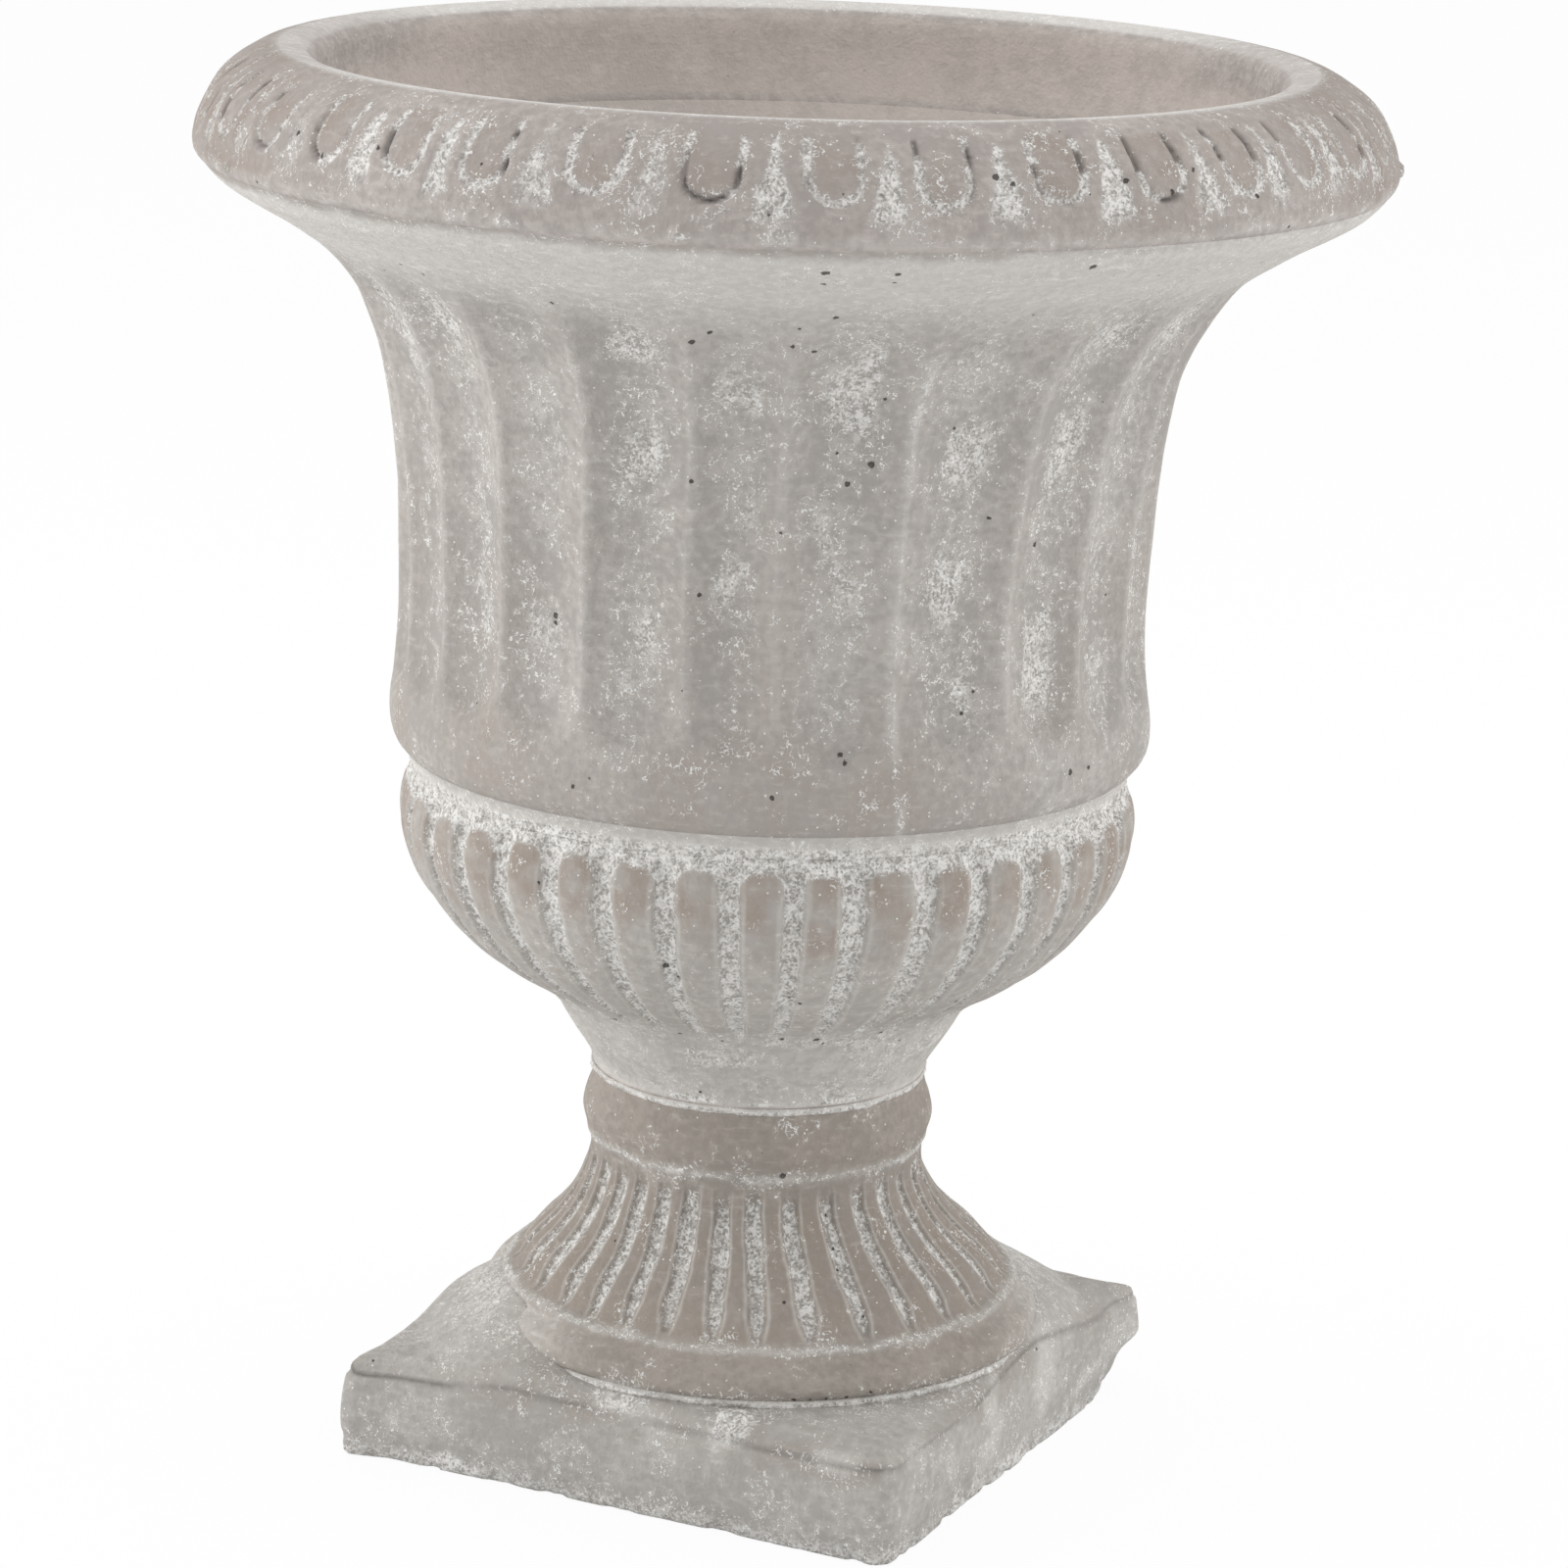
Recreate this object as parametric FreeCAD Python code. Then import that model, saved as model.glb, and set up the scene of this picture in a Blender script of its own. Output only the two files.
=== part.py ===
# Campana urn vase in cast cement, 305 mm tall, on its own square plinth.
#
# Five castings stand on each other: the plinth, the fluted socle with its collar, the gadrooned cup,
# the fluted bell, and the rolled rim with its tongues and darts. The lower joints are bedded in cement
# and pinned by a steel dowel, which is grouted in from below. The cup's upstand stands inside the
# bell's foot, and the rim's seat falls outwards, so that it sheds water and centres the rim.
#
# Millimetres. +Z is up. The origin is under the middle of the plinth, on the surface that the urn
# stands on, and the plinth's faces look along X and Y.
#
# Every band, carved or plain, stands on rings of corners round the axis. The rings of one band have
# the same shape and only grow with the radius, so the facets between two of them are flat.

import FreeCAD, Part
import math
import os

from FreeCAD import Vector

# Felt pads under the plinth's corners
PAD_WIDTH = 18.0
PAD_THICKNESS = 2.0
PAD_INSET = 6.0  # from the plinth's sides

# Plinth
PLINTH_WIDTH = 130.0
PLINTH_EDGE_HEIGHT = 19.5  # at the corners
PLINTH_CROWN_RISE = 4.5  # how far the top climbs from its corners to the socle
PLINTH_CORNER_RADIUS = 7.0
PLINTH_FOOT_CHAMFER = 1.0
PLINTH_BED = 1.5  # cement between plinth and socle

# Socle: base ring, ribbed flare, collar between two plain neckings
RING_SETBACK = 1.8  # from the plinth's sides to the ring
RING_HEIGHT = 8.5
RING_STEP = 7.9  # from the ring's outside to the foot of the ribs
FLARE_HEIGHT = 29.0
SOCLE_RIBS = 32
SOCLE_GROOVE_DEPTH = 1.7  # at the foot of the ribs
NECKING_HEIGHT = 2.5
NECK_RADIUS = 36.5
COLLAR_HEIGHT = 12.5
COLLAR_SWELL = 1.9
NECK_BED = 1.5  # cement between collar and neck

# Cup: plain neck, gadroons, bowl's floor, upstand inside the bell's foot
NECK_HEIGHT = 16.6
NECK_FLARE = 9.5
GADROON_HEIGHT = 50.0
GADROONS = 36
GADROON_GROOVE_DEPTH = 2.6  # where the cup is widest
CUP_INSET = 0.5  # from the bell's waist to the cup's widest
FLOOR_THICKNESS = 19.5  # above the gadroons' foot
BODY_BED = 5.0  # cement between cup and bell
BODY_BED_INSET = 1.0  # from the cup's top edge
UPSTAND_WIDTH = 4.0
UPSTAND_HEIGHT = 5.0  # above the bed
UPSTAND_GAP = 0.8  # round and over the upstand

# Bell: foot bulge, fluted shaft, cove
WAIST_RADIUS = 80.4
BELL_FOOT_INSET = 1.2
BULGE_HEIGHT = 14.0
BULGE_SWELL = 1.6
SHAFT_HEIGHT = 94.0
FLUTES = 24
FLUTE_DEPTH = 2.4  # at the waist
COVE_HEIGHT = 18.5
BELL_WALL = 14.4

# Rim
MOUTH_RADIUS = 104.7
RIM_WIDTH = 22.1
RIM_HEIGHT = 23.0
RIM_OVERHANG = 1.6  # over the bell's top edge
SEAT_FALL = 2.0  # from the bore to the rim's outside
TONGUES = 36
DART_DEPTH = 1.8
LIP_CHAMFER = 1.6  # round the mouth

# Dowel
DOWEL_RADIUS = 5.0
GROUT_WIDTH = 3.0
GROUT_COVER = 8.0  # under the dowel's end
DOWEL_IN_CUP = 18.0

OVERRUN = 3.0  # a cutter runs this far past what it cuts
BODY_SIDES = 72  # facets round the outside of cup, bell and rim
STEM_SIDES = 48  # facets round the socle, the neck and the bowl
DOWEL_SIDES = 16

# Outlines: (share of the height, share of the way from the narrow radius to the wide one)
RING_SHARES = ((0.0, 0.8), (0.12, 1.0), (0.35, 0.86), (1.0, 0.0))
FLARE_SHARES = ((0.0, 1.0), (0.17, 0.82), (0.4, 0.48), (0.65, 0.17), (1.0, 0.0))
COLLAR_SHARES = ((0.0, 0.0), (0.3, 0.9), (0.5, 1.0), (0.7, 0.9), (1.0, 0.0))
NECK_SHARES = ((0.0, 0.0), (0.3, 0.15), (0.65, 0.52), (1.0, 1.0))
GADROON_SHARES = ((0.0, 0.0), (0.11, 0.2), (0.24, 0.5), (0.42, 0.76), (0.62, 0.945), (0.8, 1.0), (1.0, 0.93))
BOWL_SHARES = ((0.0, 0.52), (0.2, 0.8), (0.6, 0.95), (1.0, 1.0))
BULGE_SHARES = ((0.0, 0.0), (0.25, 0.8), (0.55, 1.0), (1.0, 0.72))
SHAFT_SHARES = ((0.0, 0.02), (0.12, 0.0), (0.4, 0.015), (0.64, 0.06), (0.8, 0.14), (0.9, 0.245), (1.0, 0.4))
COVE_SHARES = ((0.0, 0.0), (0.3, 0.28), (0.62, 0.7), (1.0, 1.0))
BORE_SHARES = ((0.0, 0.0), (0.45, 0.0), (0.68, 0.23), (0.82, 0.67), (0.93, 1.0))
RIM_SHARES = ((0.0, 0.94), (0.1, 1.0), (0.3, 0.975), (0.52, 0.885), (0.72, 0.75), (0.87, 0.55), (1.0, 0.17))

# The grooves' depth at each level of an outline, as a share of their whole depth
FLARE_DEPTH_SHARES = (0.4, 1.0, 1.0, 1.0, 0.0)
GADROON_DEPTH_SHARES = (0.0, 1.0, 1.0, 1.0, 1.0, 1.0, 1.0)
SHAFT_DEPTH_SHARES = (0.0, 1.0, 1.0, 1.0, 1.0, 0.65, 0.0)
RIM_DEPTH_SHARES = (0.0, 0.3, 1.0, 1.0, 1.0, 1.0, 0.0)

# Corners of one rib and its groove: (share of the pitch, share of the groove's depth)
RIB_SHARES = ((0.0, 0.0), (0.3, 0.3), (0.5, 1.0), (0.7, 0.3))
FLUTE_SHARES = ((0.0, 0.0), (0.25, 0.72), (0.5, 1.0), (0.75, 0.72))
ROUND_SHARES = ((0.0, 0.0),)
CORE_CLEARANCE_SHARE = 0.3  # of a groove's depth, from the groove down to the core

# Levels, from the surface that the urn stands on
plinth_foot = PAD_THICKNESS
plinth_edge = plinth_foot + PLINTH_EDGE_HEIGHT
plinth_crown = plinth_edge + PLINTH_CROWN_RISE
socle_foot = plinth_crown + PLINTH_BED
flare_foot = socle_foot + RING_HEIGHT
flare_top = flare_foot + FLARE_HEIGHT
collar_foot = flare_top + NECKING_HEIGHT
collar_top = collar_foot + COLLAR_HEIGHT
socle_top = collar_top + NECKING_HEIGHT
neck_foot = socle_top + NECK_BED
gadroon_foot = neck_foot + NECK_HEIGHT
cup_top = gadroon_foot + GADROON_HEIGHT
bell_foot = cup_top + BODY_BED
shaft_foot = bell_foot + BULGE_HEIGHT
shaft_top = shaft_foot + SHAFT_HEIGHT
rim_foot = shaft_top + COVE_HEIGHT
rim_top = rim_foot + RIM_HEIGHT
bowl_floor = gadroon_foot + FLOOR_THICKNESS
upstand_top = bell_foot + UPSTAND_HEIGHT
seat_top = rim_foot + SEAT_FALL
dowel_foot = plinth_foot + GROUT_COVER
dowel_top = neck_foot + DOWEL_IN_CUP

# Radii
ring_radius = PLINTH_WIDTH / 2 - RING_SETBACK
flare_radius = ring_radius - RING_STEP
gadroon_foot_radius = NECK_RADIUS + NECK_FLARE
cup_radius = WAIST_RADIUS - CUP_INSET
bell_foot_radius = WAIST_RADIUS - BELL_FOOT_INSET
bore_radius = WAIST_RADIUS - BELL_WALL
upstand_radius = bore_radius + UPSTAND_WIDTH
rim_radius = MOUTH_RADIUS + RIM_WIDTH
grout_radius = DOWEL_RADIUS + GROUT_WIDTH


def between(start, end, share):
    return start + share * (end - start)


def outline(shares, foot, top, narrow, wide):
    """The (radius, height) levels of an outline that is given in shares."""
    return [(between(narrow, wide, width), between(foot, top, high)) for high, width in shares]


def ring(radius, height, count, depth_share, pattern_shares):
    """The corners of one ring: the pattern, count times round the axis."""
    pitch = 2 * math.pi / count
    corners = []
    for rib in range(count):
        for turn, depth in pattern_shares:
            angle = (rib + turn) * pitch
            reach = radius * (1 - depth * depth_share)
            corners.append(Vector(reach * math.cos(angle), reach * math.sin(angle), height))
    return corners


def facet(*corners):
    return Part.Face(Part.makePolygon([*corners, corners[0]]))


def banded(rings):
    """The solid that stands between rings of corners, given from the lowest up."""
    facets = [facet(*rings[0]), facet(*rings[-1])]
    for low, high in zip(rings, rings[1:]):
        facets += [facet(low[side - 1], low[side], high[side], high[side - 1]) for side in range(len(low))]
    shell = Part.Shell(facets)
    shell.sewShape()
    return Part.Solid(shell)


def plain(levels, sides):
    return banded([ring(radius, height, sides, 0, ROUND_SHARES) for radius, height in levels])


def drum(radius, low, high, sides):
    return plain([(radius, low), (radius, high)], sides)


def dowel_hole(low, high):
    return drum(grout_radius, low, high, DOWEL_SIDES)


def carved(levels, depth_shares, depth_share, count, pattern_shares):
    """A carved band with a core, which rises to the surface where the grooves run out and ends them."""
    band = banded([ring(radius, height, count, depth_share, pattern_shares) for radius, height in levels])
    core = []
    for (radius, height), depth in zip(levels, depth_shares):
        sunk = depth * (1 + CORE_CLEARANCE_SHARE) * depth_share
        core.append((radius * (1 - sunk), height))
    return band.fuse(plain(core, BODY_SIDES))


ring_levels = outline(RING_SHARES, socle_foot, flare_foot, flare_radius, ring_radius)
flare_levels = outline(FLARE_SHARES, flare_foot, flare_top, NECK_RADIUS, flare_radius)
gadroon_levels = outline(GADROON_SHARES, gadroon_foot, cup_top, gadroon_foot_radius, cup_radius)
rim_levels = outline(RIM_SHARES, rim_foot, rim_top, MOUTH_RADIUS, rim_radius)
rim_foot_radius = rim_levels[0][0]
cove_radius = rim_foot_radius - RIM_OVERHANG
shaft_levels = outline(SHAFT_SHARES, shaft_foot, shaft_top, WAIST_RADIUS, cove_radius)
shaft_top_radius = shaft_levels[-1][0]


def felt_pads():
    """Four felt squares, just inside the plinth's corners."""
    outer = PLINTH_WIDTH / 2 - PAD_INSET
    inner = outer - PAD_WIDTH
    places = {
        "front_left": (-outer, -outer),
        "front_right": (inner, -outer),
        "back_left": (-outer, inner),
        "back_right": (inner, inner),
    }
    return {
        f"felt_pad_{name}": Part.makeBox(PAD_WIDTH, PAD_WIDTH, PAD_THICKNESS, Vector(x, y, 0))
        for name, (x, y) in places.items()
    }


def square_plinth():
    half = PLINTH_WIDTH / 2
    height = plinth_crown - plinth_foot
    slab = Part.makeBox(PLINTH_WIDTH, PLINTH_WIDTH, height, Vector(-half, -half, plinth_foot))
    upright = [edge for edge in slab.Edges if edge.BoundBox.ZLength > height / 2]
    slab = slab.makeFillet(PLINTH_CORNER_RADIUS, upright)
    under = [edge for edge in slab.Edges if edge.BoundBox.ZMax < plinth_edge]
    slab = slab.makeChamfer(PLINTH_FOOT_CHAMFER, under)
    # the top falls from the socle to the corners, so its edges arch a little in their middle
    corner = half * math.sqrt(2)
    weathering = [(corner, plinth_foot), (corner, plinth_edge), (ring_radius, plinth_crown)]
    slab = slab.common(plain(weathering, STEM_SIDES))
    return slab.cut(dowel_hole(plinth_foot - OVERRUN, plinth_crown + OVERRUN))


def fluted_socle():
    """Base ring, ribbed flare and collar, with the dowel's hole right through."""
    base_ring = plain(ring_levels, STEM_SIDES)
    depth_share = SOCLE_GROOVE_DEPTH / flare_radius
    flare = carved(flare_levels, FLARE_DEPTH_SHARES, depth_share, SOCLE_RIBS, RIB_SHARES)
    swell = outline(COLLAR_SHARES, collar_foot, collar_top, NECK_RADIUS, NECK_RADIUS + COLLAR_SWELL)
    collar = plain([(NECK_RADIUS, flare_top), *swell, (NECK_RADIUS, socle_top)], STEM_SIDES)
    hole = dowel_hole(socle_foot - OVERRUN, socle_top + OVERRUN)
    return base_ring.multiFuse([flare, collar]).cut(hole)


def gadrooned_cup():
    """Neck, gadroons and the lower part of the bowl, with the dowel's blind hole."""
    neck = plain(outline(NECK_SHARES, neck_foot, gadroon_foot, NECK_RADIUS, gadroon_foot_radius), STEM_SIDES)
    depth_share = GADROON_GROOVE_DEPTH / cup_radius
    gadroons = carved(gadroon_levels, GADROON_DEPTH_SHARES, depth_share, GADROONS, RIB_SHARES)
    upstand = drum(upstand_radius, cup_top, upstand_top, BODY_SIDES)
    bowl = outline(BOWL_SHARES, bowl_floor, cup_top, 0, bore_radius)
    bowl = plain([*bowl, (bore_radius, upstand_top + OVERRUN)], STEM_SIDES)
    return neck.multiFuse([gadroons, upstand]).cut(bowl).cut(dowel_hole(neck_foot - OVERRUN, dowel_top))


def bore():
    """The space inside the bell and the rim, up to the chamfered mouth."""
    levels = outline(BORE_SHARES, cup_top, rim_top, bore_radius, MOUTH_RADIUS)
    levels.append((MOUTH_RADIUS, rim_top - LIP_CHAMFER))
    levels.append((MOUTH_RADIUS + LIP_CHAMFER + OVERRUN, rim_top + OVERRUN))
    return plain(levels, STEM_SIDES)


def rim_seat():
    """What lies under the rim: a cone that falls outwards."""
    return plain([(rim_foot_radius, rim_foot), (bore_radius, seat_top)], BODY_SIDES)


def fluted_bell():
    """Foot bulge, fluted shaft and cove, rebated round the cup's upstand."""
    bulge_levels = outline(BULGE_SHARES, bell_foot, shaft_foot, bell_foot_radius, WAIST_RADIUS + BULGE_SWELL)
    bulge = plain(bulge_levels, BODY_SIDES)
    shaft = carved(shaft_levels, SHAFT_DEPTH_SHARES, FLUTE_DEPTH / WAIST_RADIUS, FLUTES, FLUTE_SHARES)
    cove = plain(outline(COVE_SHARES, shaft_top, rim_foot, shaft_top_radius, cove_radius), BODY_SIDES)
    seat = rim_seat().common(drum(cove_radius, rim_foot, seat_top, BODY_SIDES))
    rebate_radius = upstand_radius + UPSTAND_GAP
    rebate = drum(rebate_radius, bell_foot - OVERRUN, upstand_top + UPSTAND_GAP, BODY_SIDES)
    return bulge.multiFuse([shaft, cove, seat]).cut(bore()).cut(rebate)


def tongue_and_dart_rim():
    """The rolled rim. Its grooves are the darts, and the rounds between them are the tongues."""
    depth_share = DART_DEPTH / rim_radius
    return carved(rim_levels, RIM_DEPTH_SHARES, depth_share, TONGUES, RIB_SHARES).cut(rim_seat()).cut(bore())


def bed(radius, low, high, sides, hole):
    """The cement between two castings, round what passes through it."""
    return drum(radius, low, high, sides).cut(hole)


def make_nodes():
    dowel = drum(DOWEL_RADIUS, dowel_foot, dowel_top, DOWEL_SIDES)
    grout = dowel_hole(plinth_foot, dowel_top)
    upstand = drum(upstand_radius, cup_top, upstand_top, BODY_SIDES)
    ring_foot_radius = ring_levels[0][0]
    body_bed_radius = gadroon_levels[-1][0] - BODY_BED_INSET
    return {
        **felt_pads(),
        "square_plinth": square_plinth(),
        "plinth_bed": bed(ring_foot_radius, plinth_crown, socle_foot, STEM_SIDES, grout),
        "fluted_socle": fluted_socle(),
        "neck_bed": bed(NECK_RADIUS, socle_top, neck_foot, STEM_SIDES, grout),
        "gadrooned_cup": gadrooned_cup(),
        "body_bed": bed(body_bed_radius, cup_top, bell_foot, BODY_SIDES, upstand),
        "fluted_bell": fluted_bell(),
        "tongue_and_dart_rim": tongue_and_dart_rim(),
        "stem_dowel": dowel,
        "dowel_grout": grout.cut(dowel),
    }


os.makedirs("parts", exist_ok=True)
for node, shape in make_nodes().items():
    print(node, shape.isValid(), len(shape.Solids), round(shape.Volume))
    shape.exportStep(f"parts/{node}.step")
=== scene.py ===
import math
import bpy
import numpy as np
from mathutils import Matrix, Vector


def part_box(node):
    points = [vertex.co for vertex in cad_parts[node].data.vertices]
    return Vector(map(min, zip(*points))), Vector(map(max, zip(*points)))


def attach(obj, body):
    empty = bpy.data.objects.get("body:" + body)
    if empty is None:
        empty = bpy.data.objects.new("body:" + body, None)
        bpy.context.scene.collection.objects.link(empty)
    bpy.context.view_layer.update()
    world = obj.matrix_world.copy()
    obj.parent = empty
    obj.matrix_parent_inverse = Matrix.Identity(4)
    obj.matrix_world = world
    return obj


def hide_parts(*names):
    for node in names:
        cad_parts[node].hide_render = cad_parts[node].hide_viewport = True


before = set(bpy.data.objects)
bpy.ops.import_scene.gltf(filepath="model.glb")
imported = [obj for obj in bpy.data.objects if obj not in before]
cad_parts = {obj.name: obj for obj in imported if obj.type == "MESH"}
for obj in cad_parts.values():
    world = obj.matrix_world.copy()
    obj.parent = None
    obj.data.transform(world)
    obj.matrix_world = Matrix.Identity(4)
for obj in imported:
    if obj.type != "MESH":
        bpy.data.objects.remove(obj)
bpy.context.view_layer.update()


# Felt pads: four squares of pressed dark felt under the plinth's corners, cut from sheet and
# glued on, so that the cement doesn't scratch what it stands on. Their edges are soft and fuzzy.
MM = 0.001
PAD_EDGE = 0.6 * MM
PAD_CUTS = 10
PAD_TUFT = 1.5 * MM
PAD_FUZZ = 0.12 * MM
PAD_DARK = (0.045, 0.042, 0.040, 1)
PAD_LIGHT = (0.12, 0.113, 0.108, 1)


class Wire:
    """The output of a shader node. Arithmetic on it adds the Math nodes that work it out."""

    def __init__(self, finish, socket):
        self.finish = finish
        self.socket = socket

    def __add__(self, other):
        return self.finish.sum("ADD", self, other)

    def __sub__(self, other):
        return self.finish.sum("SUBTRACT", self, other)

    def __rsub__(self, other):
        return self.finish.sum("SUBTRACT", other, self)

    def __mul__(self, other):
        return self.finish.sum("MULTIPLY", self, other)

    __radd__ = __add__
    __rmul__ = __mul__


class Nodes:
    """A node tree, put together node by node."""

    def __init__(self, tree):
        self.tree = tree

    def node(self, kind, settings, inputs, output=0):
        """Adds a node: first its settings, then the values or links of its inputs. Gives one output."""
        made = self.tree.nodes.new(kind)
        for name, value in settings.items():
            setattr(made, name, value)
        for name, value in inputs.items():
            if isinstance(value, Wire):
                self.tree.links.new(value.socket, made.inputs[name])
            else:
                made.inputs[name].default_value = value
        return Wire(self, made.outputs[output])

    def sum(self, operation, first, second):
        return self.node("ShaderNodeMath", {"operation": operation}, {0: first, 1: second})

    def most(self, first, second):
        return self.sum("MAXIMUM", first, second)

    def rise(self, value, low, high):
        """0 below low, 1 above high and a soft rise between them."""
        inputs = {"Value": value, "From Min": low, "From Max": high}
        return self.node("ShaderNodeMapRange", {"interpolation_type": "SMOOTHSTEP"}, inputs)

    def mix(self, share, first, second):
        return self.node("ShaderNodeMix", {"data_type": "RGBA"}, {0: share, 6: first, 7: second}, 2)

    def seen(self):
        """1 for what the camera sees directly, in a reflection or through glass."""
        direct = self.node("ShaderNodeLightPath", {}, {}, "Is Camera Ray")
        mirrored = self.node("ShaderNodeLightPath", {}, {}, "Is Glossy Ray")
        through = self.node("ShaderNodeLightPath", {}, {}, "Is Transmission Ray")
        return self.most(self.most(direct, mirrored), through)


class Finish(Nodes):
    """A material whose nodes read the coordinates of the piece itself."""

    def __init__(self, name, roughness):
        self.material = bpy.data.materials.new(name)
        self.material.use_nodes = True
        super().__init__(self.material.node_tree)
        self.surface = self.tree.nodes["Principled BSDF"]
        self.surface.inputs["Roughness"].default_value = roughness
        self.surface.inputs["Specular IOR Level"].default_value = 0.2
        self.place = self.node("ShaderNodeTexCoord", {}, {}, "Object")

    def clouds(self, size, detail=2.0, stretch=(1, 1, 1)):
        """Noise from 0 to 1 whose clouds are about size millimetres wide."""
        where = self.node("ShaderNodeMapping", {}, {"Vector": self.place, "Scale": stretch})
        inputs = {"Vector": where, "Scale": 1 / (size * MM), "Detail": detail}
        return self.node("ShaderNodeTexNoise", {}, inputs)

    def cells(self, size):
        """Spots about size millimetres apart: how far off the nearest is, and its own random number."""
        inputs = {"Vector": self.place, "Scale": 1 / (size * MM)}
        color = self.node("ShaderNodeTexVoronoi", {}, inputs, "Color")
        return (
            self.node("ShaderNodeTexVoronoi", {}, inputs, "Distance"),
            self.node("ShaderNodeSeparateColor", {}, {0: color}),
        )

    def painted(self, name):
        """A share that was written on the points of the piece's mesh."""
        return self.node("ShaderNodeAttribute", {"attribute_name": name}, {}, "Fac")

    def feed(self, name, value):
        self.tree.links.new(value.socket, self.surface.inputs[name])

    def relief(self, height):
        """Feeds fine relief, in millimetres, to the surface's normal."""
        self.feed("Normal", self.node("ShaderNodeBump", {}, {"Distance": MM, "Height": height}))


def felt():
    finish = Finish("felt", 0.95)
    fuzz = finish.clouds(0.5, 4.0)
    fibres = finish.clouds(0.7, 3.0, (1, 0.2, 1))
    finish.feed("Base Color", finish.mix(finish.rise(fuzz, 0.35, 0.7), PAD_DARK, PAD_LIGHT))
    finish.relief(0.15 * fuzz + 0.1 * fibres)
    return finish.material


def block(name, low, high):
    """A box between two corners, in place, with its edges and corners still sharp."""
    bpy.ops.object.select_all(action="DESELECT")
    bpy.ops.mesh.primitive_cube_add(size=1, location=(low + high) / 2, scale=high - low)
    piece = bpy.context.object
    piece.name = name
    bpy.ops.object.transform_apply()
    return piece


def modified(piece, kind, **settings):
    """Adds a modifier and applies it."""
    bpy.context.view_layer.objects.active = piece
    modifier = piece.modifiers.new(kind, kind)
    for name, value in settings.items():
        setattr(modifier, name, value)
    bpy.ops.object.modifier_apply(modifier=kind)


def roughened(piece, size, strength):
    """Pushes the points in and out by clouds of the given size."""
    clouds = bpy.data.textures.new("clouds", "CLOUDS")
    clouds.noise_scale = size
    modified(piece, "DISPLACE", texture=clouds, strength=strength, texture_coords="LOCAL")


def handed_over(piece, node, material):
    """Gives a finished piece its material and its body, and hides the node that it stands for."""
    piece.data.materials.clear()
    piece.data.materials.append(material)
    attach(piece, "root")
    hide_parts(node)


felt_finish = felt()
first_low, first_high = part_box("felt_pad_front_left")
pad = block("pad_front_left", first_low, first_high)
bpy.ops.object.mode_set(mode="EDIT")
bpy.ops.mesh.bevel(offset=PAD_EDGE, segments=3)
bpy.ops.mesh.select_all(action="SELECT")
bpy.ops.mesh.subdivide(number_cuts=PAD_CUTS)
bpy.ops.object.mode_set(mode="OBJECT")
roughened(pad, PAD_TUFT, PAD_FUZZ)
for corner in ("front_right", "back_left", "back_right"):
    other = pad.copy()
    other.data = pad.data.copy()
    other.name = f"pad_{corner}"
    bpy.context.collection.objects.link(other)
    other.data.transform(Matrix.Translation(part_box(f"felt_pad_{corner}")[0] - first_low))
    handed_over(other, f"felt_pad_{corner}", felt_finish)
handed_over(pad, "felt_pad_front_left", felt_finish)


# Plinth: a square block of cement, cast upside down in an open mould. Its top falls a little to
# its corners, its sides belly out, and its foot is crumbly where the mould was struck off.
# Plain lengths are millimetres from here on. Bearings are degrees, with 0 facing the camera.
SIDE_OF_CAMERA = 64  # added to an angle from X, it gives a bearing
SOCLE_OFFSET = 1.8  # how far the socle's foot stands off centre, to the camera's right
PLINTH_CORNER = 5 * MM
PLINTH_ARRIS = 1.8 * MM
PLINTH_GRID = 1.05 * MM
PLINTH_FALL = 4.6  # from the socle's ring out to the corners
EDGE_FALL = 2.6
EDGE_WIDTHS = (3, 8)  # how far in the edges fall, on the camera's left and on its right
APRON_FOOT = 55.9  # radius from which cement is drawn down over the socle's ring, to the corners
APRON_RISE = 15.2
APRON_MARGIN = 7  # from its end to the corner
DRAWN_UP = [(-78, 50), (109, 60), (-161, 44)]  # bearings of three corners, and how wide it spreads
FOOT_LIFT = 5.0  # at the broken corner on the camera's right
FOOT_DROP = 1.8  # how far the foot's edges hang below the underside
CRUMBLY = 5.5  # height of the crumbly foot
CHIP_DEPTH = 1.1
LUMP = (27.5, -62.5)  # a half-round smear of cement on the front edge
LUMP_RADII = (3.6, 5.4)
LUMP_HEIGHT = 0.8
HOLE_SIDES = 96
CORE_LENGTH = 200 * MM
SWELL_GRID = 32  # how many random numbers a pattern has on each side, before it repeats
PLINTH_BODY = (0.42, 0.405, 0.385, 1)
PLINTH_STAIN = (0.34, 0.31, 0.28, 1)
PALE = (0.62, 0.60, 0.57, 1)
CHALK = (0.86, 0.85, 0.83, 1)
SHADE = (0.20, 0.18, 0.16, 1)
DEEP_SHADE = (0.035, 0.03, 0.026, 1)
LINING = (0.53, 0.475, 0.437, 1)


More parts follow.
